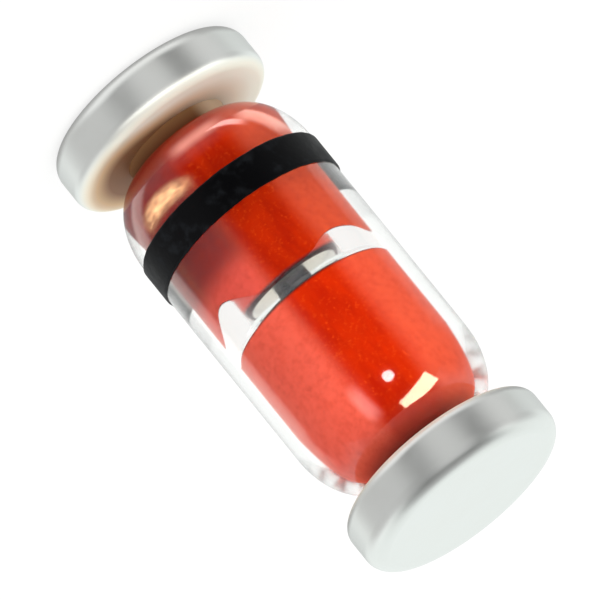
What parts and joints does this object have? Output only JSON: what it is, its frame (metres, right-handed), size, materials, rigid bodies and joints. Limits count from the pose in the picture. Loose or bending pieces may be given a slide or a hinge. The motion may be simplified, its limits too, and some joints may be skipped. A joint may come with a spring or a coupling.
{
  "type": "zener diode",
  "caption": "Leadless zener diode for surface mounting: a chip between red studs sealed in a clear glass sleeve, with plated end discs and a black cathode band.",
  "frame": {"origin": "centre of the cathode disc's outer face, which the part stands on", "axes": "+Z along the package axis, from the cathode disc with the band beside it to the anode disc"},
  "size_m": [0.0016, 0.0014, 0.0035],
  "materials": {
    "tin_plate": "matte tin plate",
    "red_oxide": "red oxide on copper cladding",
    "silicon": "polished silicon",
    "silver": "plated silver",
    "clear_glass": "clear melted glass",
    "black_ink": "printed ink"
  },
  "bodies": {
    "root": {"cathode_disc": "tin_plate", "cathode_stud": "red_oxide", "zener_chip": "silicon", "contact_bump": "silver", "anode_stud": "red_oxide", "anode_disc": "tin_plate", "glass_sleeve": "clear_glass", "cathode_band": "black_ink"}
  },
  "joints": []
}
